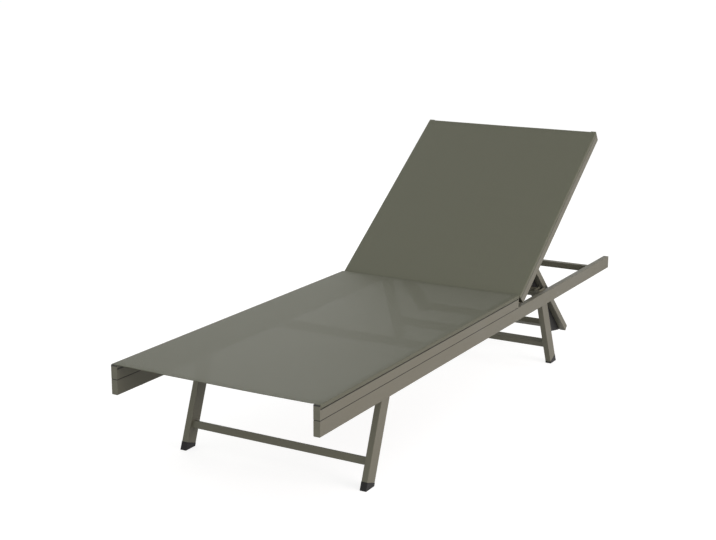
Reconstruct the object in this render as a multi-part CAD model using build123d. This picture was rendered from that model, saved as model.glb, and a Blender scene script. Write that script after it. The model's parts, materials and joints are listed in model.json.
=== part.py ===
from build123d import *
import math
import os

# Sun lounger. X runs across, Y from the foot end to the head end, Z up from the floor.
# The origin is on the floor, in the middle of the length and of the width. Lengths are millimetres.

# Overall size
lounger_length = 1930.0
lounger_width = 609.0
main_rail_underside = 226.5

# Main rails: rectangular tube stood on edge
rail_height = 40.0
rail_width = 18.0
rail_wall = 1.6
rail_corner = 1.5

# Sling profile of the seat rails and back rails, with a round keder channel behind the groove
sling_rail_height = 38.0
groove_drop = 10.0
groove_mouth = 3.0
channel_radius = 3.4
channel_inset = 5.4
keder_gap = 0.3

# Cloth
cloth_thickness = 0.9
soft_gap = 0.3
sling_end_inset = 3.0
sling_hinge_inset = 1.0

# Square bars of the cross members and of the prop frame
bar_side = 20.0
bar_wall = 1.5
bar_corner = 1.2
mid_bar_from_foot = 733.0
head_bar_from_head = 86.4

# End caps and plugs
cap_plate = 2.0
plug_depth = 14.0
arm_plug_depth = 7.0
plug_clearance = 0.2

# Legs: tube of the rails' section, front pair leaning to the foot end, rear pair to the head end
leg_depth = 40.0
leg_width = 18.0
front_foot_from_foot = 268.1
front_leg_lean = 20.2
front_leg_drop_from_rail = 4.0
front_bar_height = 62.0
rear_foot_from_foot = 1488.7
rear_leg_lean = 23.7
rear_leg_rise_over_rail = 5.5
rear_bar_height = 69.0
catch_bar_height = 258.5
foot_rise = 14.5
foot_lip = 0.5
leg_plug_depth = 18.0

# Leg bolts with rivet nuts in the main rails, two to a leg
leg_bolt_radius = 3.0
leg_bolt_head_radius = 6.0
leg_bolt_head_height = 3.5
leg_bolt_reach = 8.0
leg_bolt_clearance = 0.1
leg_bolt_spacing = 20.0
leg_bolt_rise = 11.0
rivet_nut_radius = 4.6
rivet_nut_length = 8.0
rivet_nut_flange = 0.8

# Screws that hold each seat rail on its main rail
rail_screw_radius = 2.5
rail_screw_head_radius = 4.5
rail_screw_head_height = 2.6
rail_screw_reach = 6.0
rail_screw_clearance = 0.1
rail_screw_shares = (0.09, 0.36, 0.64, 0.88)

# Hinge between the frame and the backrest
hinge_from_foot = 1162.0
back_rest_gap = 0.5
back_side_gap = 0.4
seat_end_gap = 1.2
bracket_thickness = 3.0
bracket_length = 50.0
bracket_overlap = 24.0
bracket_eye_radius = 12.0
bracket_top_rise = 6.0
bracket_shoulder = 8.0
bracket_rear_reach = 42.0
bracket_rear_rise = 3.0
bracket_screw_radius = 2.0
bracket_screw_head_radius = 3.8
bracket_screw_head_height = 2.0
bracket_screw_reach = 5.0
bracket_screw_spacing = 22.0
bracket_screw_edge = 20.0
pivot_radius = 4.0
pivot_clearance = 0.05
pivot_head_radius = 7.0
pivot_head_height = 3.0
pivot_nut_radius = 6.4
pivot_nut_height = 3.0
pivot_play = 0.15
washer_radius = 7.4
washer_clearance = 0.3
spacer_radius = 9.0

# Backrest
back_angle = 35.4
back_length = 729.0
back_heel_front = -6.0
back_heel_rear = 5.0
back_lower_tube_run = 44.0
back_top_tube_inset = 16.0
back_sling_start = -4.0
hinge_plate_thickness = 3.0
hinge_plate_eye_radius = 11.0
hinge_plate_reach = 74.0
hinge_plate_rivet_radius = 2.4
hinge_plate_rivet_head = 4.2
hinge_plate_rivet_rise = 1.2
hinge_plate_rivet_edge = 9.0
hinge_plate_rivet_spacing = 41.0

# Prop frame, which turns on the back rails and stands on the catch bar
prop_pivot_run = 179.3
first_seat_drop = 50.33
rack_to_bar = 21.1
prop_side_gap = 3.0
prop_arm_upper_reach = 12.0

# Notched racks on the inner sides of the prop arms
rack_thickness = 6.0
rack_pitch = 56.3
rack_seats = 5
rack_depth = 41.0
first_crest_depth = 36.5
first_crest_run = 14.0
rack_nose = 10.0
rack_rear_inset = 3.0
rack_tail = 40.0
rack_last_crest = 9.0
rack_tip_reach = 62.0
rack_tip_drop = 5.0
rack_bar_gap = 1.0
rack_play = 1.3
rack_tip_round = 1.2
rack_nose_round = 6.0
first_flank_angle = 23.74
rack_screw_radius = 2.0
rack_screw_head_radius = 4.0
rack_screw_head_height = 2.2
rack_screw_reach = 5.0
rack_screw_shares = (0.08, 0.5, 0.9)

# One overrun serves every cut
overrun = 1.0

# Derived places
half_length = lounger_length / 2
half_width = lounger_width / 2
rail_centre_x = half_width - rail_width / 2
rail_inner_x = half_width - rail_width
main_rail_top = main_rail_underside + rail_height
main_rail_mid = main_rail_underside + rail_height / 2
seat_rail_mid = main_rail_top + sling_rail_height / 2
seat_rail_top = main_rail_top + sling_rail_height
leg_inner_x = rail_inner_x - leg_width

hinge_y = hinge_from_foot - half_length
hinge_z = main_rail_top + back_rest_gap + sling_rail_height / 2
back_outer_x = half_width + back_side_gap
back_centre_x = back_outer_x - rail_width / 2
back_inner_x = back_outer_x - rail_width
heel_reach = math.hypot(back_heel_front, sling_rail_height / 2) + soft_gap + cloth_thickness
seat_rail_end_y = hinge_y - heel_reach - seat_end_gap

arm_outer_x = leg_inner_x - prop_side_gap
arm_inner_x = arm_outer_x - bar_side
arm_centre_x = arm_outer_x - bar_side / 2
rack_inner_x = arm_inner_x - rack_thickness


def turned(angle, run, rise):
    """A point of the side view, turned about the origin."""
    turn = math.radians(angle)
    return (
        run * math.cos(turn) - rise * math.sin(turn),
        run * math.sin(turn) + rise * math.cos(turn),
    )


def prop_pivot_place(back):
    """Y and Z of the prop pivot for a given angle of the backrest."""
    run, rise = turned(back, prop_pivot_run, 0)
    return hinge_y + run, hinge_z + rise


def rear_leg_y(height):
    """Y of the rear legs' centreline at a height."""
    return rear_foot_from_foot - half_length - height * math.tan(math.radians(rear_leg_lean))


def front_leg_y(height):
    """Y of the front legs' centreline at a height."""
    return front_foot_from_foot - half_length + height * math.tan(math.radians(front_leg_lean))


# The prop arms slope so that the catch bar's middle lies below them by the first seat's drop
catch_y = rear_leg_y(catch_bar_height)
prop_pivot_y, prop_pivot_z = prop_pivot_place(back_angle)
catch_fall = math.atan2(catch_bar_height - prop_pivot_z, catch_y - prop_pivot_y)
catch_distance = math.hypot(catch_bar_height - prop_pivot_z, catch_y - prop_pivot_y)
prop_angle = math.degrees(catch_fall + math.asin(first_seat_drop / catch_distance))
hinge_place = Pos(0, hinge_y, hinge_z) * Rot(back_angle, 0, 0)
prop_place = Pos(0, prop_pivot_y, prop_pivot_z) * Rot(prop_angle, 0, 0)


# Profiles and simple bodies


def rail_profile():
    outer = RectangleRounded(rail_width, rail_height, rail_corner)
    bore = Rectangle(rail_width - 2 * rail_wall, rail_height - 2 * rail_wall)
    return outer - bore


def bar_profile():
    outer = RectangleRounded(bar_side, bar_side, bar_corner)
    bore = Rectangle(bar_side - 2 * bar_wall, bar_side - 2 * bar_wall)
    return outer - bore


def sling_profile():
    """Hollow extrusion with the keder channel on its outer side, which is +X here."""
    outer = RectangleRounded(rail_width, sling_rail_height, rail_corner)
    bore = Rectangle(rail_width - 2 * rail_wall, sling_rail_height - 2 * rail_wall)
    channel_x = rail_width / 2 - channel_inset
    channel_z = sling_rail_height / 2 - groove_drop
    mouth_length = channel_inset + overrun
    mouth_place = Pos(channel_x + mouth_length / 2, channel_z)
    channel_block = Pos(channel_x, channel_z) * Circle(channel_radius + rail_wall)
    mouth_block = mouth_place * Rectangle(mouth_length, groove_mouth + 2 * rail_wall)
    channel = Pos(channel_x, channel_z) * Circle(channel_radius)
    mouth = mouth_place * Rectangle(mouth_length, groove_mouth)
    return outer - (bore - channel_block - mouth_block) - channel - mouth


def along_y(profile, y_start, y_end):
    """Extrude an X-Z profile along Y."""
    return Pos(0, y_end, 0) * Rot(90, 0, 0) * extrude(profile, y_end - y_start)


def rod_across(radius, x_start, x_end, y=0, z=0):
    """Round bar along X."""
    middle = (x_start + x_end) / 2
    return Pos(middle, y, z) * Rot(0, 90, 0) * Cylinder(radius, x_end - x_start)


def plate_across(outline, x_start, x_end):
    """Extrude a Y-Z outline along X."""
    return Pos(x_start, 0, 0) * extrude(Plane.YZ * outline, x_end - x_start)


def square_bar(x_start, x_end, y, z, lean):
    """Square tube along X, turned about its own axis by the lean of what carries it."""
    tube = extrude(Plane.YZ * bar_profile(), x_end - x_start)
    return Pos(x_start, y, z) * Rot(lean, 0, 0) * tube


def other_side(shape):
    return mirror(shape, about=Plane.YZ)


def save(name, shape):
    shape.label = name
    export_step(shape, "parts/" + name + ".step")


def save_pair(name, shape):
    """Write a piece of the right side and its mirror image on the left."""
    save(name + "_right", shape)
    save(name + "_left", other_side(shape))


def save_group(name, solids):
    """Write a group of separate solids, with their mirror images."""
    every = solids + [other_side(solid) for solid in solids]
    save(name, Compound(every))


# Base frame


def leg_bolt_places(centre_y, height, lean):
    """Y and Z of a leg's two bolts, side by side across the leg."""
    step_y, step_z = turned(-lean, leg_bolt_spacing / 2, 0)
    return [(centre_y - step_y, height - step_z), (centre_y + step_y, height + step_z)]


def every_leg_bolt():
    height = main_rail_underside + leg_bolt_rise
    front = leg_bolt_places(front_leg_y(height), height, front_leg_lean)
    rear = leg_bolt_places(rear_leg_y(height), height, -rear_leg_lean)
    return front, rear


def rail_screw_ys():
    run = seat_rail_end_y + half_length
    return [share * run - half_length for share in rail_screw_shares]


def bracket_screw_places():
    """Y and Z of the screws of a hinge bracket, two in each rail."""
    last_y = seat_rail_end_y - bracket_screw_edge
    ys = (last_y - bracket_screw_spacing, last_y)
    return [(y, z) for z in (main_rail_mid, seat_rail_mid) for y in ys]


def main_rail():
    rail = along_y(rail_profile(), cap_plate - half_length, half_length - cap_plate)
    rail = Pos(rail_centre_x, 0, main_rail_mid) * rail
    inside_x = rail_inner_x + rail_wall + overrun
    front, rear = every_leg_bolt()
    for y, z in front + rear:
        rail -= rod_across(rivet_nut_radius, rail_inner_x - overrun, inside_x, y, z)
    for y, z in bracket_screw_places()[:2]:
        rail -= rod_across(bracket_screw_radius, rail_inner_x - overrun, inside_x, y, z)
    hole = rail_screw_radius + rail_screw_clearance
    for y in rail_screw_ys():
        rail -= Pos(rail_centre_x, y, main_rail_mid) * Cylinder(hole, rail_height + 2 * overrun)
    return rail


def seat_rail():
    rail = along_y(sling_profile(), cap_plate - half_length, seat_rail_end_y - cap_plate)
    rail = Pos(rail_centre_x, 0, seat_rail_mid) * rail
    inside_x = rail_inner_x + rail_wall + overrun
    for y, z in bracket_screw_places()[2:]:
        rail -= rod_across(bracket_screw_radius, rail_inner_x - overrun, inside_x, y, z)
    hole = rail_screw_radius + rail_screw_clearance
    depth = rail_wall + 2 * overrun
    for y in rail_screw_ys():
        middle = main_rail_top + rail_wall / 2
        rail -= Pos(rail_centre_x, y, middle) * Cylinder(hole, depth)
    return rail


def rail_cap(end_y, inward):
    """Push-in cap of a main rail. inward is +1 at the foot end and -1 at the head end."""
    plate = along_y(RectangleRounded(rail_width, rail_height, rail_corner), 0, cap_plate)
    plug_width = rail_width - 2 * rail_wall - 2 * plug_clearance
    plug_height = rail_height - 2 * rail_wall - 2 * plug_clearance
    plug = along_y(Rectangle(plug_width, plug_height), cap_plate, cap_plate + plug_depth)
    cap = plate + plug
    if inward < 0:
        cap = mirror(cap, about=Plane.XZ)
    return Pos(rail_centre_x, end_y, main_rail_mid) * cap


def sling_rail_cap():
    """Push-in cap of a sling profile, whose plate starts at Y zero and faces -Y."""
    plate = along_y(RectangleRounded(rail_width, sling_rail_height, rail_corner), 0, cap_plate)
    floor = -sling_rail_height / 2 + rail_wall + plug_clearance
    ceiling = sling_rail_height / 2 - groove_drop - channel_radius - rail_wall - plug_clearance
    plug_width = rail_width - 2 * rail_wall - 2 * plug_clearance
    outline = Pos(0, (floor + ceiling) / 2) * Rectangle(plug_width, ceiling - floor)
    plug = along_y(outline, cap_plate, cap_plate + plug_depth)
    return plate + plug


def cross_bar(y, z, reach, lean=0):
    """Square tube from one side to the other, welded to the faces at +-reach."""
    return square_bar(-reach, reach, y, z, lean)


def rail_screws():
    solids = []
    shank = rail_height + rail_wall + rail_screw_reach
    for y in rail_screw_ys():
        screw = Pos(0, 0, shank / 2) * Cylinder(rail_screw_radius, shank)
        screw += Pos(0, 0, -rail_screw_head_height / 2) * Cylinder(
            rail_screw_head_radius, rail_screw_head_height
        )
        solids.append(Pos(rail_centre_x, y, main_rail_underside) * screw)
    return solids


# Legs


def leaning_leg(foot_y, lean, top):
    """Leg tube, cut square at the foot and level at the top. A positive lean goes up to +Y."""
    length = top / math.cos(math.radians(lean)) + leg_depth
    outer = RectangleRounded(leg_width, leg_depth, rail_corner)
    bore = Rectangle(leg_width - 2 * rail_wall, leg_depth - 2 * rail_wall)
    start = foot_rise / math.cos(math.radians(lean))
    tube = Pos(0, 0, start) * extrude(outer - bore, length)
    tube = Pos(0, foot_y, 0) * Rot(-lean, 0, 0) * tube
    keep_length = lounger_length
    keep = Pos(0, 0, top / 2) * Box(leg_width + 2 * overrun, keep_length, top)
    return Pos(leg_inner_x + leg_width / 2, 0, 0) * (tube & keep)


def leg_foot(foot_y, lean):
    """Plastic foot: square to the leg at its top edge, level on the floor, with a plug above."""
    start = foot_rise / math.cos(math.radians(lean))
    outer = RectangleRounded(leg_width + 2 * foot_lip, leg_depth + 2 * foot_lip, rail_corner)
    body = Pos(0, 0, start - leg_depth) * extrude(outer, leg_depth)
    plug_width = leg_width - 2 * rail_wall - 2 * plug_clearance
    plug_height = leg_depth - 2 * rail_wall - 2 * plug_clearance
    plug = Pos(0, 0, start) * extrude(Rectangle(plug_width, plug_height), leg_plug_depth)
    foot = Pos(0, foot_y, 0) * Rot(-lean, 0, 0) * (body + plug)
    keep_height = leg_depth + leg_plug_depth
    keep = Pos(0, 0, keep_height / 2) * Box(leg_depth, lounger_length, keep_height)
    return Pos(leg_inner_x + leg_width / 2, 0, 0) * (foot & keep)


def leg_holes(leg, places):
    hole = leg_bolt_radius + leg_bolt_clearance
    for y, z in places:
        leg -= rod_across(hole, leg_inner_x - overrun, rail_inner_x + overrun, y, z)
    return leg


def leg_bolts(places):
    solids = []
    for y, z in places:
        tip_x = rail_inner_x + rail_wall + leg_bolt_reach
        bolt = rod_across(leg_bolt_radius, leg_inner_x, tip_x, y, z)
        head_x = leg_inner_x - leg_bolt_head_height
        bolt += rod_across(leg_bolt_head_radius, head_x, leg_inner_x, y, z)
        solids.append(bolt)
    return solids


def rivet_nuts(places):
    """Collars round the leg bolts, held in the main rail's inner wall."""
    solids = []
    for y, z in places:
        wall_x = rail_inner_x + rail_wall
        collar = rod_across(rivet_nut_radius, rail_inner_x, wall_x + rivet_nut_length, y, z)
        flange = rod_across(rivet_nut_radius + rivet_nut_flange, wall_x, wall_x + rivet_nut_flange, y, z)
        bore_end = wall_x + rivet_nut_length + overrun
        bore = rod_across(leg_bolt_radius, rail_inner_x - overrun, bore_end, y, z)
        solids.append(collar + flange - bore)
    return solids


# Slings


def sling_outline(outer_x, top):
    """Cloth section across the lounger: over both rails and into their grooves."""
    outside = outer_x + soft_gap + cloth_thickness
    inside = outer_x + soft_gap
    face = top + soft_gap
    groove = top - groove_drop
    lip_low = groove - cloth_thickness / 2
    lip_high = groove + cloth_thickness / 2
    lip_end = outer_x - channel_inset + channel_radius
    half = [
        (outside, face + cloth_thickness),
        (outside, lip_low),
        (lip_end, lip_low),
        (lip_end, lip_high),
        (inside, lip_high),
        (inside, face),
    ]
    points = half + [(-x, z) for x, z in reversed(half)]
    return make_face(Polyline(*points, close=True))


def keder(centre_x, middle, y_start, y_end):
    """Round cord that locks the cloth in its groove."""
    x = centre_x + rail_width / 2 - channel_inset
    z = middle + sling_rail_height / 2 - groove_drop
    cord = along_y(Circle(channel_radius - keder_gap), y_start, y_end)
    return Pos(x, 0, z) * cord


# Hinge


def hinge_bracket():
    """Plate on the inner faces of both rails, with an eye at the hinge axis."""
    start_y = seat_rail_end_y - bracket_length
    bottom = main_rail_top - bracket_overlap
    top = hinge_z + bracket_top_rise
    edge = Polyline(
        (start_y, bottom),
        (hinge_y + bracket_rear_reach, bottom),
        (hinge_y + bracket_rear_reach, main_rail_top + bracket_rear_rise),
        (hinge_y + bracket_eye_radius, hinge_z),
        (seat_rail_end_y, hinge_z),
        (seat_rail_end_y - bracket_shoulder, top),
        (start_y, top),
        close=True,
    )
    outline = make_face(edge) + Pos(hinge_y, hinge_z) * Circle(bracket_eye_radius)
    plate = plate_across(outline, rail_inner_x - bracket_thickness, rail_inner_x)
    plate -= rod_across(
        pivot_radius + pivot_clearance,
        rail_inner_x - bracket_thickness - overrun,
        rail_inner_x + overrun,
        hinge_y,
        hinge_z,
    )
    for y, z in bracket_screw_places():
        start = rail_inner_x - bracket_thickness - overrun
        plate -= rod_across(bracket_screw_radius, start, rail_inner_x + overrun, y, z)
    return plate


def bracket_screws():
    solids = []
    face = rail_inner_x - bracket_thickness
    for y, z in bracket_screw_places():
        screw = rod_across(bracket_screw_radius, face, rail_inner_x + bracket_screw_reach, y, z)
        head = rod_across(bracket_screw_head_radius, face - bracket_screw_head_height, face, y, z)
        solids.append(screw + head)
    return solids


def pivot_bolt(face_x, tip_x, y, z):
    """Bolt along X with a low head on the inner side."""
    bolt = rod_across(pivot_radius, face_x, tip_x, y, z)
    return bolt + rod_across(pivot_head_radius, face_x - pivot_head_height, face_x, y, z)


def ring_across(radius, bore, x_start, x_end, y, z):
    ring = rod_across(radius, x_start, x_end, y, z)
    return ring - rod_across(bore, x_start - overrun, x_end + overrun, y, z)


def hex_nut(x_start, x_end, y, z):
    outline = Plane.YZ * RegularPolygon(pivot_nut_radius, 6)
    nut = Pos(x_start, y, z) * extrude(outline, x_end - x_start)
    return nut - rod_across(pivot_radius, x_start - overrun, x_end + overrun, y, z)


hinge_plate_x = back_inner_x + rail_wall
hinge_face_x = rail_inner_x - bracket_thickness - pivot_play
hinge_nut_x = hinge_plate_x + hinge_plate_thickness + pivot_play


def hinge_bolt():
    return pivot_bolt(hinge_face_x, hinge_nut_x + pivot_nut_height, hinge_y, hinge_z)


def hinge_washer():
    start = rail_inner_x + pivot_play
    return ring_across(washer_radius, pivot_radius, start, hinge_plate_x - pivot_play, hinge_y, hinge_z)


def hinge_nut():
    return hex_nut(hinge_nut_x, hinge_nut_x + pivot_nut_height, hinge_y, hinge_z)


# Backrest, modelled flat with its hinge axis at the origin and then turned up


def back_rail():
    rail = along_y(sling_profile(), -sling_rail_height, back_length - cap_plate)
    half = sling_rail_height / 2 + overrun
    slope = (back_heel_rear - back_heel_front) / sling_rail_height
    keep = make_face(
        Polyline(
            (back_heel_front - slope * overrun, half),
            (back_heel_rear + slope * overrun, -half),
            (back_length, -half),
            (back_length, half),
            close=True,
        )
    )
    rail &= plate_across(keep, -rail_width, rail_width)
    rail = Pos(back_centre_x, 0, 0) * rail
    inside_x = back_inner_x + rail_wall + overrun
    hole = pivot_radius + pivot_clearance
    rail -= rod_across(hole, back_inner_x - overrun, inside_x, prop_pivot_run)
    washer_hole = washer_radius + washer_clearance
    rail -= rod_across(washer_hole, back_inner_x - overrun, inside_x)
    for run in hinge_rivet_runs():
        rail -= rod_across(hinge_plate_rivet_radius, back_inner_x - overrun, inside_x, run)
    return rail


def hinge_rivet_runs():
    last = hinge_plate_reach - hinge_plate_rivet_edge
    return (last - hinge_plate_rivet_spacing, last)


def back_hinge_plate():
    """Tongue inside the back rail, whose eye turns on the hinge bolt."""
    width = 2 * hinge_plate_eye_radius
    outline = Circle(hinge_plate_eye_radius)
    outline += Pos(hinge_plate_reach / 2, 0) * Rectangle(hinge_plate_reach, width)
    plate = plate_across(outline, hinge_plate_x, hinge_plate_x + hinge_plate_thickness)
    start = hinge_plate_x - overrun
    end = hinge_plate_x + hinge_plate_thickness + overrun
    plate -= rod_across(pivot_radius + pivot_clearance, start, end)
    for run in hinge_rivet_runs():
        plate -= rod_across(hinge_plate_rivet_radius, start, end, run)
    return plate


def hinge_plate_rivets():
    solids = []
    end = hinge_plate_x + hinge_plate_thickness
    for run in hinge_rivet_runs():
        rivet = rod_across(hinge_plate_rivet_radius, back_inner_x, end, run)
        low = rod_across(hinge_plate_rivet_head, back_inner_x - hinge_plate_rivet_rise, back_inner_x, run)
        high = rod_across(hinge_plate_rivet_head, end, end + hinge_plate_rivet_rise, run)
        solids.append(rivet + low + high)
    return solids


def back_tube(run):
    return square_bar(-back_inner_x, back_inner_x, run, 0, 0)


# Prop frame, modelled with the arms along +Y and the pivot axis at the origin


def prop_arm():
    start = -prop_arm_upper_reach
    end = prop_length + bar_side / 2
    arm = Pos(arm_centre_x, 0, 0) * along_y(bar_profile(), start, end)
    hole = pivot_radius + pivot_clearance
    arm -= rod_across(hole, arm_inner_x - overrun, arm_outer_x + overrun)
    for run in rack_screw_runs():
        arm -= rod_across(rack_screw_radius, arm_inner_x - overrun, arm_inner_x + bar_wall + overrun, run)
    return arm


def arm_plug(end, outward):
    """Plug in an end of a prop arm. outward is +1 at the lower end and -1 at the upper end."""
    plug_side = bar_side - 2 * bar_wall - 2 * plug_clearance
    plate = along_y(RectangleRounded(bar_side, bar_side, bar_corner), 0, cap_plate)
    plug = plate + along_y(Rectangle(plug_side, plug_side), -arm_plug_depth, 0)
    if outward < 0:
        plug = mirror(plug, about=Plane.XZ)
    return Pos(arm_centre_x, end, 0) * plug


def catch_corner():
    """Run and rise, along and across the prop arm, of the catch bar's corner that meets the rack."""
    across, up = turned(rear_leg_lean, bar_side / 2, bar_side / 2)
    corner_y = catch_y + across
    corner_z = catch_bar_height + up
    return turned(-prop_angle, corner_y - prop_pivot_y, corner_z - prop_pivot_z)


def rack_outline():
    """Saw-toothed edge: each notch fits the catch bar's corner, and the first has an easy flank."""
    seat_run, seat_rise = catch_corner()
    seat_rise += rack_play
    easy_slope = math.tan(math.radians(first_flank_angle))
    face_turn = -(90 - rear_leg_lean) - prop_angle
    ramp_slope = math.tan(math.radians(face_turn))
    crest = -bar_side / 2 - rack_depth
    first_crest = -bar_side / 2 - first_crest_depth
    rear = bar_side / 2 - rack_rear_inset
    first_crest_end = seat_run - (seat_rise - first_crest) / easy_slope
    first_crest_start = first_crest_end - first_crest_run
    top = first_crest_start - rack_nose
    points = [
        (top, rear),
        (top, first_crest / 2),
        (first_crest_start, first_crest),
        (first_crest_end, first_crest),
    ]
    for index in range(rack_seats):
        run = seat_run + index * rack_pitch
        if index > 0:
            points.append((run + (seat_rise - crest) * ramp_slope, crest))
        points.append((run, seat_rise))
        points.append((run + (crest - seat_rise) / ramp_slope, crest))
    last = points[-1][0]
    under_bar = -bar_side / 2 - rack_bar_gap
    points.append((last + rack_last_crest, crest))
    points.append((last + rack_tip_reach, under_bar - rack_tip_drop))
    points.append((last + rack_tip_reach, under_bar))
    points.append((last + rack_tail, under_bar))
    points.append((last + rack_tail, rear))
    return points


def rack_ends():
    points = rack_outline()
    return points[0][0], points[-1][0]


prop_length = rack_ends()[1] + rack_to_bar


def rack_screw_runs():
    top, tail = rack_ends()
    return [top + share * (tail - top) for share in rack_screw_shares]


def rack():
    face = make_face(Polyline(*rack_outline(), close=True))
    nose = face.vertices().sort_by(Axis.X)[:2]
    tips = [corner for corner in face.vertices() if corner not in nose]
    face = fillet(tips, rack_tip_round)
    face = fillet(face.vertices().sort_by(Axis.X)[:2], rack_nose_round)
    plate = plate_across(face, rack_inner_x, arm_inner_x)
    for run in rack_screw_runs():
        plate -= rod_across(rack_screw_radius, rack_inner_x - overrun, arm_inner_x + overrun, run)
    return plate


def rack_screws():
    solids = []
    for run in rack_screw_runs():
        screw = rod_across(rack_screw_radius, rack_inner_x, arm_inner_x + rack_screw_reach, run)
        head_x = rack_inner_x - rack_screw_head_height
        screw += rod_across(rack_screw_head_radius, head_x, rack_inner_x, run)
        solids.append(screw)
    return solids


prop_face_x = arm_inner_x - pivot_play
prop_nut_x = back_inner_x + rail_wall + pivot_play


def prop_bolt():
    return pivot_bolt(prop_face_x, prop_nut_x + pivot_nut_height, prop_pivot_y, prop_pivot_z)


def prop_spacer():
    start = arm_outer_x + pivot_play
    end = back_inner_x - pivot_play
    return ring_across(spacer_radius, pivot_radius, start, end, prop_pivot_y, prop_pivot_z)


def prop_nut():
    return hex_nut(prop_nut_x, prop_nut_x + pivot_nut_height, prop_pivot_y, prop_pivot_z)


# Groups of nodes


def make_base():
    front, rear = every_leg_bolt()
    save_pair("main_rail", main_rail())
    save_pair("seat_rail", seat_rail())
    save_pair("main_foot_cap", rail_cap(-half_length, 1))
    save_pair("main_head_cap", rail_cap(half_length, -1))
    foot_cap = Pos(rail_centre_x, -half_length, seat_rail_mid) * sling_rail_cap()
    save_pair("seat_foot_cap", foot_cap)
    hinge_cap = Pos(rail_centre_x, seat_rail_end_y, seat_rail_mid) * mirror(
        sling_rail_cap(), about=Plane.XZ
    )
    save_group("seat_hinge_caps", [hinge_cap])
    bar_z = main_rail_underside + bar_side / 2
    save("mid_crossbar", cross_bar(mid_bar_from_foot - half_length, bar_z, rail_inner_x))
    save("head_crossbar", cross_bar(half_length - head_bar_from_head, bar_z, rail_inner_x))
    save_group("rail_screws", rail_screws())
    front_top = main_rail_top - front_leg_drop_from_rail
    front_foot_y = front_foot_from_foot - half_length
    front_leg = leaning_leg(front_foot_y, front_leg_lean, front_top)
    save_pair("front_leg", leg_holes(front_leg, front))
    rear_top = main_rail_top + rear_leg_rise_over_rail
    rear_foot_y = rear_foot_from_foot - half_length
    rear_leg = leaning_leg(rear_foot_y, -rear_leg_lean, rear_top)
    save_pair("rear_leg", leg_holes(rear_leg, rear))
    save_pair("front_foot", leg_foot(front_foot_y, front_leg_lean))
    save_pair("rear_foot", leg_foot(rear_foot_y, -rear_leg_lean))
    front_bar = cross_bar(front_leg_y(front_bar_height), front_bar_height, leg_inner_x, -front_leg_lean)
    save("front_leg_crossbar", front_bar)
    rear_bar = cross_bar(rear_leg_y(rear_bar_height), rear_bar_height, leg_inner_x, rear_leg_lean)
    save("rear_leg_crossbar", rear_bar)
    catch_bar = cross_bar(catch_y, catch_bar_height, leg_inner_x, rear_leg_lean)
    save("catch_bar", catch_bar)
    save_group("front_leg_bolts", leg_bolts(front))
    save_group("rear_leg_bolts", leg_bolts(rear))
    save_group("rivet_nuts", rivet_nuts(front + rear))
    sling_start = sling_end_inset - half_length
    sling_end = seat_rail_end_y - sling_hinge_inset
    save("seat_sling", along_y(sling_outline(half_width, seat_rail_top), sling_start, sling_end))
    cord_end = seat_rail_end_y - cap_plate - keder_gap
    cord_start = cap_plate + keder_gap - half_length
    save_pair("seat_keder", keder(rail_centre_x, seat_rail_mid, cord_start, cord_end))
    save_pair("hinge_bracket", hinge_bracket())
    save_group("bracket_screws", bracket_screws())


def make_hinge_pins():
    save_group("hinge_bolts", [hinge_bolt()])
    save_group("hinge_washers", [hinge_washer()])
    save_group("hinge_nuts", [hinge_nut()])


def make_backrest():
    save_pair("back_rail", hinge_place * back_rail())
    top_cap = Pos(back_centre_x, back_length, 0) * mirror(sling_rail_cap(), about=Plane.XZ)
    save_pair("back_cap", hinge_place * top_cap)
    save("back_lower_tube", hinge_place * back_tube(back_lower_tube_run))
    save("back_top_tube", hinge_place * back_tube(back_length - cap_plate - back_top_tube_inset))
    sling = along_y(
        sling_outline(back_outer_x, sling_rail_height / 2),
        back_sling_start,
        back_length - sling_end_inset,
    )
    save("back_sling", hinge_place * sling)
    cord_start = back_heel_rear + keder_gap
    cord_end = back_length - cap_plate - keder_gap
    save_pair("back_keder", hinge_place * keder(back_centre_x, 0, cord_start, cord_end))
    save_pair("back_hinge_plate", hinge_place * back_hinge_plate())
    save_group("hinge_plate_rivets", [hinge_place * rivet for rivet in hinge_plate_rivets()])


def make_prop_pins():
    save_group("prop_bolts", [prop_bolt()])
    save_group("prop_spacers", [prop_spacer()])
    save_group("prop_nuts", [prop_nut()])


def make_prop():
    save_pair("prop_arm", prop_place * prop_arm())
    upper = prop_place * arm_plug(-prop_arm_upper_reach, -1)
    lower = prop_place * arm_plug(prop_length + bar_side / 2, 1)
    save_group("prop_arm_plugs", [upper, lower])
    save("prop_crossbar", prop_place * square_bar(-arm_inner_x, arm_inner_x, prop_length, 0, 0))
    save_pair("rack", prop_place * rack())
    save_group("rack_screws", [prop_place * screw for screw in rack_screws()])


os.makedirs("parts", exist_ok=True)
make_base()
make_hinge_pins()
make_backrest()
make_prop_pins()
make_prop()
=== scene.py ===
import json
import math

import bmesh
import bpy
from mathutils import Matrix, Vector


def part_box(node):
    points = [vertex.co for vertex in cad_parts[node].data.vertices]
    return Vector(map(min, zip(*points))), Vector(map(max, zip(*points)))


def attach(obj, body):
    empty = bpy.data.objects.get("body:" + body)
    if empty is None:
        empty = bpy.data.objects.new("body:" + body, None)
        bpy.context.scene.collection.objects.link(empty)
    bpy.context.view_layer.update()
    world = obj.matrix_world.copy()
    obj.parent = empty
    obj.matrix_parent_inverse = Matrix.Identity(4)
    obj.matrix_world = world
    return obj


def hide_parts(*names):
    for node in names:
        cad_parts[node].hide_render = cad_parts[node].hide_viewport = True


# Sun lounger, in metres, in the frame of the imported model: X across, Y from foot to head, Z up.

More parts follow.
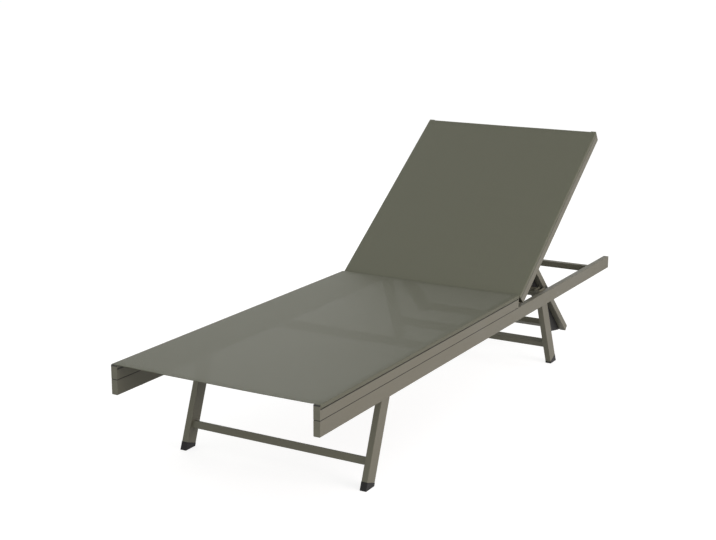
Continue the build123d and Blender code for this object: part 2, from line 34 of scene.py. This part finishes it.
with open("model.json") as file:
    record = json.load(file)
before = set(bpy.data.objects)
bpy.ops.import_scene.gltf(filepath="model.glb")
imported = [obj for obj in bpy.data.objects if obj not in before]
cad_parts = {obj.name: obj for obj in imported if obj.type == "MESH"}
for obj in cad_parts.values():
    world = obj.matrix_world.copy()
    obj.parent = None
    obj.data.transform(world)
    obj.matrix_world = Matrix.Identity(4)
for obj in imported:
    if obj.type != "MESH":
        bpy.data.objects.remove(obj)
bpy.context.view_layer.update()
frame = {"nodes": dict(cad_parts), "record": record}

MM = 0.001
joints = {joint["name"]: joint for joint in frame["record"]["behaviour"]["joints"]}
slots = {part["node"]: part["material_slot"] for part in frame["record"]["subparts"]}

# Rails that hold the cloth. The back's own lengths run along and across it, from its hinge.
rail_width = 18 * MM
rail_corner = 1.5 * MM
groove_drop = 10 * MM
groove_mouth = 3 * MM
rail_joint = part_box("main_rail_right")[1].z
seat_low, seat_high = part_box("seat_sling")
seat_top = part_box("seat_rail_right")[1].z
seat_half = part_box("seat_rail_right")[1].x
seat_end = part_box("seat_rail_right")[1].y
back_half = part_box("back_rail_right")[1].x
back_top = 19 * MM
back_start = -4 * MM
back_end = 726 * MM
hinge = Vector(joints["back_tilt"]["pos_m"])
prop_pivot = Vector(joints["prop_swing"]["pos_m"])
back_angle = math.atan2(prop_pivot.z - hinge.z, prop_pivot.y - hinge.y)
back_place = Matrix.Translation(hinge) @ Matrix.Rotation(back_angle, 4, "X")
seat_place = Matrix.Identity(4)

# Cloth
cloth = 0.9 * MM
lay_gap = 0.1 * MM
groove_tuck = 3 * MM
seat_sag = 1.6 * MM
back_sag = 0.6 * MM
ripple_height = 0.16 * MM
row_spacing = 22 * MM
weave_pitch = 1.15 * MM
cloth_uv = "flat"

# Hems, seams and thread
hem_width = 18 * MM
hem_step = 0.25 * MM
seam_dip = 0.14 * MM
seam_inset = 7.5 * MM
seam_spacing = 7.5 * MM
seam_insets = (seam_inset, seam_inset + seam_spacing)
fold_angles = (0, 30, 60, 90)
# Millimetres from the seam, and share of its dip there
seam_shape = ((-1.6, 0), (-0.7, 0.6), (0, 1), (0.7, 0.6), (1.6, 0))
stitch_pitch = 3.2 * MM
stitch_margin = 2 * MM
thread = 0.32 * MM

# Colours
frame_colour = (0.150, 0.146, 0.110)
cloth_colour = (0.150, 0.156, 0.110)
cord_colour = (0.08, 0.08, 0.07)
black = (0.014, 0.014, 0.014)
dark_steel = (0.46, 0.455, 0.44)
light_steel = (0.6, 0.595, 0.58)


# Shader helpers


class Graph:
    """Node tree of a material or of the world, built by short calls."""

    # Inputs and output of a Mix node for each kind of data
    mix_sockets = {"FLOAT": (("0", "2", "3"), 0), "RGBA": (("0", "6", "7"), 2)}

    def __init__(self, owner, output):
        owner.use_nodes = True
        self.owner = owner
        self.tree = owner.node_tree
        self.output = self.tree.nodes[output]

    def add(self, kind, settings=None, **inputs):
        node = self.tree.nodes.new("ShaderNode" + kind)
        for key, value in (settings or {}).items():
            setattr(node, key, value)
        for key, value in inputs.items():
            self.set(node, key.replace("_", " "), value)
        return node

    def set(self, node, key, value):
        """Link a socket or set its value. The key is the socket's name, or its number as text."""
        socket = node.inputs[int(key) if key.isdigit() else key]
        if isinstance(value, bpy.types.NodeSocket):
            self.tree.links.new(value, socket)
        else:
            socket.default_value = value

    def math(self, operation, first, second=0.0):
        node = self.add("Math", {"operation": operation})
        self.set(node, "0", first)
        self.set(node, "1", second)
        return node.outputs[0]

    def mix(self, kind, factor, first, second):
        """Blend of two floats or two colours. Its sockets share their names and go by number."""
        keys, output = self.mix_sockets[kind]
        node = self.add("Mix", {"data_type": kind})
        for key, value in zip(keys, (factor, first, second)):
            self.set(node, key, value)
        return node.outputs[output]

    def mix_shader(self, factor, first, second):
        node = self.add("MixShader")
        for key, value in zip("012", (factor, first, second)):
            self.set(node, key, value)
        return node.outputs[0]

    def noise(self, vector, scale, detail=3.0, roughness=0.55):
        node = self.add("TexNoise", Vector=vector, Scale=scale, Detail=detail, Roughness=roughness)
        return node.outputs["Fac"]

    def place(self, scale=(1, 1, 1), uv=None, lean=0.0):
        """Coordinates of the object, turned back by a lean about X, or of a UV map."""
        if uv:
            source = self.add("UVMap", {"uv_map": uv}).outputs["UV"]
        else:
            source = self.add("TexCoord").outputs["Object"]
        node = self.add("Mapping", Vector=source, Scale=scale, Rotation=(-lean, 0, 0))
        return node.outputs["Vector"]

    def split(self, vector):
        return self.add("SeparateXYZ", Vector=vector).outputs

    def ramp(self, factor, dark, light, start=0.3, end=0.7):
        """Colour that goes from dark to light while the factor goes from start to end."""
        node = self.add("ValToRGB", Fac=factor)
        elements = node.color_ramp.elements
        for element, position, colour in zip(elements, (start, end), (dark, light)):
            element.position = position
            element.color = (*colour, 1)
        return node.outputs["Color"]

    def spread(self, factor, low, high, start=0.3, end=0.7):
        """Value that goes from low to high while the factor goes from start to end."""
        node = self.add(
            "MapRange", Value=factor, From_Min=start, From_Max=end, To_Min=low, To_Max=high,
        )
        return node.outputs["Result"]

    def bump(self, height, distance, strength, normal=None):
        node = self.add("Bump", Height=height, Distance=distance, Strength=strength)
        if normal:
            self.set(node, "Normal", normal)
        return node.outputs["Normal"]

    def seen(self):
        """1 for a ray from the camera, a gloss or a clear material, else 0."""
        rays = self.add("LightPath").outputs
        seen = self.math("MAXIMUM", rays["Is Camera Ray"], rays["Is Glossy Ray"])
        return self.math("MAXIMUM", seen, rays["Is Transmission Ray"])

    def show(self, shader):
        self.set(self.output, "Surface", shader)


class Coat(Graph):
    """Graph of a new material, with its main shader."""

    def __init__(self, name):
        super().__init__(bpy.data.materials.new(name), "Material Output")
        self.shader = self.tree.nodes["Principled BSDF"]

    def surface(self, **inputs):
        for key, value in inputs.items():
            self.set(self.shader, key.replace("_", " "), value)
        return self.owner


def shade(colour, factor):
    return tuple(channel * factor for channel in colour)


def joint_dirt_and_shade(graph, base, colour, grime_and_shade, end, lean=0.0):
    """Dark lines of dirt and painted shade in joints and grooves along a lean, each a height, a
    half width and a tone, as far as end.
    """
    solid_share = 0.45
    axes = graph.split(graph.place(lean=lean))
    beyond = graph.math("GREATER_THAN", axes["Y"], end)
    for height, half, tone in grime_and_shade:
        away = graph.math("ABSOLUTE", graph.math("SUBTRACT", axes["Z"], height))
        clear = graph.spread(away, 0.0, 1.0, solid_share * half, half)
        clear = graph.math("MAXIMUM", clear, beyond)
        base = graph.mix("RGBA", clear, (*shade(colour, tone), 1), base)
    return base


def powder_coat(name, colour, grime_and_shade=(), end=0.0, lean=0.0):
    """Baked polyester powder: a fine orange-peel skin with a soft gloss."""
    graph = Coat(name)
    place = graph.place()
    cloud = graph.noise(place, scale=9.0, detail=4.0)
    grain = graph.noise(place, scale=900.0, detail=2.0)
    cloud_share = 0.75
    cloud_part = graph.math("MULTIPLY", cloud, cloud_share)
    grain_part = graph.math("MULTIPLY", grain, 1 - cloud_share)
    tone = graph.math("ADD", cloud_part, grain_part)
    base = graph.ramp(tone, dark=shade(colour, 0.95), light=shade(colour, 1.05))
    if grime_and_shade:
        base = joint_dirt_and_shade(graph, base, colour, grime_and_shade, end, lean)
    peel = graph.noise(place, scale=520.0, detail=2.0)
    normal = graph.bump(peel, distance=0.05 * MM, strength=0.6)
    normal = graph.bump(grain, distance=0.012 * MM, strength=0.6, normal=normal)
    rough = graph.spread(cloud, low=0.44, high=0.56)
    return graph.surface(Base_Color=base, Roughness=rough, Normal=normal, Specular_IOR_Level=0.3)


def moulded(name, colour, roughness, gloss=0.4, grime_and_shade=(), end=0.0):
    """Moulded plastic with a fine eroded grain."""
    graph = Coat(name)
    place = graph.place()
    grain = graph.noise(place, scale=1400.0, detail=2.0)
    cloud = graph.noise(place, scale=30.0)
    base = graph.ramp(cloud, dark=shade(colour, 0.88), light=shade(colour, 1.12))
    if grime_and_shade:
        base = joint_dirt_and_shade(graph, base, colour, grime_and_shade, end)
    normal = graph.bump(grain, distance=0.03 * MM, strength=0.7)
    rough = graph.spread(cloud, low=roughness - 0.05, high=roughness + 0.07)
    return graph.surface(Base_Color=base, Roughness=rough, Normal=normal, Specular_IOR_Level=gloss)


def steel(name):
    """Stainless fasteners, turned, so the brushing runs round them."""
    graph = Coat(name)
    brush = graph.noise(graph.place(scale=(1, 60, 60)), scale=60.0, detail=3.0)
    base = graph.ramp(brush, dark_steel, light_steel)
    normal = graph.bump(brush, distance=0.01 * MM, strength=0.5)
    rough = graph.spread(brush, low=0.24, high=0.4)
    return graph.surface(Base_Color=base, Metallic=1.0, Roughness=rough, Normal=normal)


def yarn_tone(graph, lengthwise):
    """Slightly different tones of neighbouring yarns, drawn out along them."""
    across, along = 1 / weave_pitch, 4.0
    scale = (across, along, 1) if lengthwise else (along, across, 1)
    return graph.noise(graph.place(scale, cloth_uv), scale=0.9, detail=1.0)


def mesh_cloth(name, colour, openness=0.0):
    """Coated-yarn mesh: a plain weave that lets some light shine through, open by a share."""
    graph = Coat(name)
    axes = graph.split(graph.place(uv=cloth_uv))
    waves = []
    for axis in ("X", "Y"):
        turns = graph.math("MULTIPLY", axes[axis], math.pi / weave_pitch)
        waves.append(graph.math("SINE", turns))
    weave = graph.math("MULTIPLY", waves[0], waves[1])
    hump = graph.math("ABSOLUTE", weave)
    over = graph.math("GREATER_THAN", weave, 0.0)
    warp = yarn_tone(graph, lengthwise=True)
    weft = yarn_tone(graph, lengthwise=False)
    yarn = graph.mix("FLOAT", over, warp, weft)
    yarn_share = 0.5
    # Each yarn float is painted darker towards its edges, where the weave dips: painted shade.
    painted_dip_shade = graph.spread(hump, low=0.0, high=1 - yarn_share, start=0.0, end=0.35)
    tone = graph.math("ADD", graph.math("MULTIPLY", yarn, yarn_share), painted_dip_shade)
    base = graph.ramp(tone, shade(colour, 0.80), shade(colour, 1.07), start=0.2, end=0.8)
    normal = graph.bump(hump, distance=0.16 * MM, strength=0.75)
    graph.surface(Base_Color=base, Roughness=0.56, Normal=normal, Specular_IOR_Level=0.35)
    glow = graph.add("BsdfTranslucent", Color=base)
    glow_share = 0.1
    shown = graph.mix_shader(glow_share, graph.shader.outputs[0], glow.outputs[0])
    if openness:
        shown = graph.mix_shader(openness, shown, graph.add("BsdfTransparent").outputs[0])
    graph.show(shown)
    return graph.owner


def thread_yarn(name, colour):
    """Twisted sewing thread."""
    graph = Coat(name)
    twist = graph.noise(graph.place(scale=(400, 2500, 2500)), scale=1.0, detail=1.0)
    base = graph.ramp(twist, dark=shade(colour, 0.8), light=shade(colour, 1.2))
    normal = graph.bump(twist, distance=0.03 * MM, strength=0.6)
    return graph.surface(Base_Color=base, Roughness=0.7, Normal=normal, Specular_IOR_Level=0.3)


# Mesh helpers


def mesh_piece(name, verts, faces, material, uvs=None):
    mesh = bpy.data.meshes.new(name)
    mesh.from_pydata(verts, [], faces)
    if uvs:
        layer = mesh.uv_layers.new(name=cloth_uv)
        for loop in mesh.loops:
            layer.data[loop.index].uv = uvs[loop.vertex_index]
    piece = bpy.data.objects.new(name, mesh)
    bpy.context.scene.collection.objects.link(piece)
    mesh.materials.append(material)
    return piece


def clean(piece, sharp_angle):
    """Weld doubled corners, turn the faces outward and shade smooth up to an angle in degrees."""
    weld = 0.001 * MM
    mesh = piece.data
    work = bmesh.new()
    work.from_mesh(mesh)
    bmesh.ops.remove_doubles(work, verts=work.verts, dist=weld)
    bmesh.ops.recalc_face_normals(work, faces=work.faces)
    work.to_mesh(mesh)
    work.free()
    for polygon in mesh.polygons:
        polygon.use_smooth = True
    mesh.set_sharp_from_angle(angle=math.radians(sharp_angle))


def arc(centre, radius, start, end, steps):
    """Points on an arc between two angles in degrees."""
    points = []
    for step in range(steps + 1):
        angle = math.radians(start + (end - start) * step / steps)
        points.append((centre[0] + radius * math.cos(angle), centre[1] + radius * math.sin(angle)))
    return points


# Slings


def slack(x, inner):
    """How freely the cloth gives at X: 1 in the middle and 0 on the rails."""
    return max(0.0, 1 - (x / inner) ** 2)


def ripple(x, y, inner):
    """Soft unevenness of stretched cloth, none on the rails."""
    # Metres in which each wave turns by one radian
    across, drift, along, skew = 0.047, 0.19, 0.061, 0.12
    wave = math.sin(x / across + 2 * math.sin(y / drift)) + math.sin(y / along + x / skew)
    return ripple_height * slack(x, inner) * wave


def section(half, top, sag):
    """The cloth's middle line across the lounger, from groove to groove, as X and Z."""
    span_steps, corner_steps, lip_steps = 30, 6, 4
    lift = cloth / 2 + lay_gap
    inner = half - rail_width
    right = []
    for step in range(span_steps + 1):
        x = inner * step / span_steps
        right.append((x, top + lift - sag * slack(x, inner)))
    right.append((inner + rail_width / 2, top + lift))
    corner = (half - rail_corner, top - rail_corner)
    right += arc(corner, rail_corner + lift, 90, 0, corner_steps)
    lip = 0.3 * MM
    lip_z = top - groove_drop + groove_mouth / 2 + lip
    right.append((half + lift, (top - rail_corner + lip_z) / 2))
    right += arc((half - lip, lip_z), lip + lift, 0, -90, lip_steps)
    right.append((half - groove_tuck, lip_z - lip - lift))
    left = [(-x, z) for x, z in reversed(right)]
    return left[:-1] + right


def rows(start, end):
    """Rows along the cloth, as Y and its top and bottom there, with a folded hem at each end."""
    middle = cloth / 2
    hem = []
    for angle in fold_angles:
        turn = math.radians(angle)
        half = cloth * math.sin(turn)
        hem.append((cloth * (1 - math.cos(turn)), half - middle, -half - middle))
    for seam in seam_insets:
        for offset, dip in seam_shape:
            drop = dip * seam_dip
            hem.append((seam + offset * MM, middle - drop, -cloth - middle + drop))
    hem.append((hem_width, middle, -cloth - middle))
    hem.append((hem_width + hem_step, middle, -middle))
    foot = [(start + distance, top, bottom) for distance, top, bottom in hem]
    head = [(end - distance, top, bottom) for distance, top, bottom in reversed(hem)]
    first = foot[-1][0]
    gap = head[0][0] - first
    count = round(gap / row_spacing)
    body = [(first + gap * step / count, middle, -middle) for step in range(1, count)]
    return foot + body + head


def path_lengths(path):
    """Length along the path up to each of its points."""
    lengths = [0.0]
    for (x0, z0), (x1, z1) in zip(path, path[1:]):
        lengths.append(lengths[-1] + math.hypot(x1 - x0, z1 - z0))
    return lengths


def path_normals(path):
    """Direction away from the rails at each point of the path."""
    normals = []
    for index in range(len(path)):
        x0, z0 = path[max(index - 1, 0)]
        x1, z1 = path[min(index + 1, len(path) - 1)]
        length = math.hypot(x1 - x0, z1 - z0)
        normals.append((-(z1 - z0) / length, (x1 - x0) / length))
    return normals


def sheet_faces(row_count, path_count):
    """Faces of a closed sheet: top, bottom, both long edges and both ends."""
    layer = row_count * path_count
    faces = []
    for row in range(row_count - 1):
        for step in range(path_count - 1):
            a = row * path_count + step
            quad = (a, a + 1, a + path_count + 1, a + path_count)
            faces.append(quad)
            faces.append(tuple(layer + corner for corner in reversed(quad)))
        for step in (0, path_count - 1):
            a = row * path_count + step
            faces.append((a, a + path_count, layer + a + path_count, layer + a))
    for row in (0, row_count - 1):
        for step in range(path_count - 1):
            a = row * path_count + step
            faces.append((a, a + 1, layer + a + 1, layer + a))
    return faces


def sling(name, half, top, start, end, sag, place, material):
    """Sheet that wraps over both rails and into their grooves, and its flat width."""
    path = section(half, top, sag)
    stations = rows(start, end)
    inner = half - rail_width
    lengths = path_lengths(path)
    normals = path_normals(path)
    verts, uvs = [], []
    for underside in (False, True):
        for y, up, down in stations:
            for (x, z), (nx, nz), along in zip(path, normals, lengths):
                # The hem is folded between the rails alone
                low = down if abs(x) < inner else max(down, -cloth / 2)
                offset = low if underside else max(up, low)
                lift = ripple(x, y, inner)
                verts.append(place @ Vector((x + nx * offset, y, z + nz * offset + lift)))
                uvs.append((along, y))
    faces = sheet_faces(len(stations), len(path))
    piece = mesh_piece(name, verts, faces, material, uvs)
    clean(piece, sharp_angle=50)
    return piece, lengths[-1]


def seam_rows(start, end):
    return [start + inset for inset in seam_insets] + [end - inset for inset in seam_insets]


def stitches(name, half, top, seams, sag, place, material):
    """Rows of thread across the hems, one low loop to a stitch."""
    rings, sides = 5, 5
    loop_share = 0.82
    # Height and thickness of a loop, as shares of the thread's width
    loop_rise, loop_sink = 0.9, 0.55
    end_width, swell, slimness = 0.55, 0.45, 1.3
    inner = half - rail_width
    rise = cloth + lay_gap
    count = int(2 * (half - stitch_margin) / stitch_pitch)
    verts, faces = [], []
    for y in seams:
        for index in range(count):
            centre = (index - (count - 1) / 2) * stitch_pitch
            first = len(verts)
            for ring in range(rings):
                share = ring / (rings - 1)
                x = centre + (share - 0.5) * loop_share * stitch_pitch
                dip = sag * slack(x, inner)
                bow = math.sin(math.pi * share)
                height = top + rise - dip + ripple(x, y, inner) - seam_dip
                height += thread * (loop_rise * bow - loop_sink)
                radius = thread * (end_width + swell * bow) / slimness
                for side in range(sides):
                    angle = 2 * math.pi * side / sides
                    offset = Vector((0, radius * math.cos(angle), radius * math.sin(angle)))
                    verts.append(place @ (Vector((x, y, height)) + offset))
            last = first + (rings - 1) * sides
            for start in range(first, last, sides):
                for side in range(sides):
                    a = start + side
                    b = start + (side + 1) % sides
                    faces.append((a, b, b + sides, a + sides))
            faces.append(tuple(first + side for side in reversed(range(sides))))
            faces.append(tuple(last + side for side in range(sides)))
    piece = mesh_piece(name, verts, faces, material)
    clean(piece, sharp_angle=60)
    return piece


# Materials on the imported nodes

materials = {
    "frame_tube": powder_coat("powder_coat_taupe", frame_colour),
    "hinge_plate": powder_coat("powder_coat_plate", shade(frame_colour, 0.96)),
    "cap_plastic": moulded("cap_plastic_taupe", shade(frame_colour, 0.95), roughness=0.5),
    "foot_plastic": moulded("foot_plastic_black", black, roughness=0.55, gloss=0.22),
    "rack_plastic": moulded("rack_plastic_black", black, roughness=0.55, gloss=0.2),
    "keder_cord": moulded("keder_cord_grey", cord_colour, roughness=0.55),
    "steel_fastener": steel("stainless_steel"),
    "sling_cloth": mesh_cloth("mesh_cloth_back", shade(cloth_colour, 0.93)),
}
seat_groove = seat_top - groove_drop
hinge_height = hinge.z * math.cos(back_angle) - hinge.y * math.sin(back_angle)
back_groove = back_top - groove_drop + hinge_height
past_head = 2.0  # nothing reaches this far along the back
# The joint between main rail and seat rail and the seat groove are painted darker: painted shade,
# with some dirt.
rail_coat = powder_coat(
    "powder_coat_rail", frame_colour,
    grime_and_shade=[(rail_joint, 1.5 * MM, 0.22), (seat_groove, 3.4 * MM, 0.2)], end=seat_end,
)
# The back rail's groove is painted darker: painted shade, with some dirt.
back_coat = powder_coat(
    "powder_coat_back_rail", frame_colour,
    grime_and_shade=[(back_groove, 3.4 * MM, 0.25)], end=past_head, lean=back_angle,
)
# On the foot caps, the line at the joint is painted shade with some dirt, and the near-black band
# at the top is a painted shadow of the gap under the cloth.
cap_coat = moulded(
    "cap_plastic_rail", shade(frame_colour, 0.95), roughness=0.5,
    grime_and_shade=[(rail_joint, 1.8 * MM, 0.2), (seat_top, 5.2 * MM, 0.05)], end=seat_end,
)
for node, shape in frame["nodes"].items():
    coat = materials[slots[node]]
    if node.startswith(("main_rail", "seat_rail_")):
        coat = rail_coat
    elif node.startswith("back_rail_"):
        coat = back_coat
    elif node.startswith(("main_foot_cap", "seat_foot_cap")):
        coat = cap_coat
    for slot in shape.material_slots:
        slot.material = coat

# Cloths and their stitches

seat_mesh = mesh_cloth("mesh_cloth_seat", shade(cloth_colour, 0.92), openness=0.12)
thread_material = thread_yarn("thread_taupe", shade(cloth_colour, 0.85))

seat, seat_flat = sling(
    "seat_cloth", seat_half, seat_top, seat_low.y, seat_high.y, seat_sag, seat_place, seat_mesh,
)
seat_thread = stitches(
    "seat_stitches", seat_half, seat_top, seam_rows(seat_low.y, seat_high.y), seat_sag,
    seat_place, thread_material,
)
back, back_flat = sling(
    "back_cloth", back_half, back_top, back_start, back_end, back_sag, back_place,
    materials["sling_cloth"],
)
back_thread = stitches(
    "back_stitches", back_half, back_top, seam_rows(back_start, back_end), back_sag,
    back_place, thread_material,
)

for piece, sewn, node, body in (
    (seat, seat_thread, "seat_sling", "frame"),
    (back, back_thread, "back_sling", "backrest"),
):
    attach(piece, body)
    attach(sewn, body)
    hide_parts(node)


# Stage, light and camera


def background_world():
    """Even fill light, and white where the camera, a gloss or a see-through ray meets it."""
    world = bpy.data.worlds.new("studio")
    bpy.context.scene.world = world
    graph = Graph(world, "World Output")
    fill = graph.tree.nodes["Background"]
    graph.set(fill, "Color", (1.0, 1.0, 0.985, 1))
    graph.set(fill, "Strength", 0.5)
    white = graph.add("Background", Color=(1, 1, 1, 1), Strength=1.0)
    graph.show(graph.mix_shader(graph.seen(), fill.outputs[0], white.outputs[0]))


def studio_floor():
    """Pale floor that reads as white where it is lit and keeps a soft shadow."""
    graph = Coat("floor_pale")
    graph.tree.nodes.remove(graph.shader)
    diffuse = graph.add("BsdfDiffuse", Color=(0.4, 0.4, 0.4, 1))
    unlit = graph.add("Emission", Strength=0.0)
    glow = graph.add("Emission", Strength=0.82)
    total = graph.add("AddShader")
    graph.set(total, "0", diffuse.outputs[0])
    graph.set(total, "1", graph.mix_shader(graph.seen(), unlit.outputs[0], glow.outputs[0]))
    graph.show(total.outputs[0])
    reach, drop = 30, 0.2 * MM
    corners = [(-reach, -reach, 0), (reach, -reach, 0), (reach, reach, 0), (-reach, reach, 0)]
    floor = mesh_piece("floor", corners, [(0, 1, 2, 3)], graph.owner)
    floor.location.z = -drop


def area_light(name, place, target, size, power, colour):
    """Lit rectangle that faces its target."""
    lamp = bpy.data.lights.new(name, "AREA")
    lamp.shape = "RECTANGLE"
    lamp.size, lamp.size_y = size
    lamp.energy = power
    lamp.color = colour
    holder = bpy.data.objects.new(name, lamp)
    bpy.context.scene.collection.objects.link(holder)
    holder.location = place
    aim = Vector(target) - Vector(place)
    holder.rotation_euler = aim.to_track_quat("-Z", "Y").to_euler()


def photo_camera(place, turn, tilt, roll, lens):
    """Camera of the photo, with its angles in degrees and its lens in millimetres."""
    data = bpy.data.cameras.new("camera")
    data.sensor_width = 36
    data.lens = lens
    camera = bpy.data.objects.new("camera", data)
    bpy.context.scene.collection.objects.link(camera)
    camera.location = place
    angles = ((turn, "Z"), (tilt, "X"), (roll, "Z"))
    about_z, about_x, about_view = (
        Matrix.Rotation(math.radians(angle), 3, axis) for angle, axis in angles
    )
    camera.rotation_euler = (about_z @ about_x @ about_view).to_euler()
    bpy.context.scene.camera = camera


background_world()
studio_floor()
area_light(
    "key_right", place=(3.9, -0.35, 1.3), target=(0, 0, 0.25), size=(2.8, 1.6),
    power=95, colour=(1.0, 0.875, 0.875),
)
area_light(
    "soft_rear", place=(-2.7, 2.4, 1.9), target=(0, -0.2, 0.3), size=(2.4, 1.8),
    power=27, colour=(1.0, 1.0, 0.93),
)
area_light(
    "low_front", place=(1.6, -7.6, 1.1), target=(0, 0, 0.3), size=(4.5, 2.0),
    power=130, colour=(1.0, 1.0, 0.97),
)
photo_camera(place=(1.822, -3.4489, 1.3289), turn=29.743, tilt=76.338, roll=0.192, lens=67.95)
bpy.context.scene.view_settings.view_transform = "Standard"
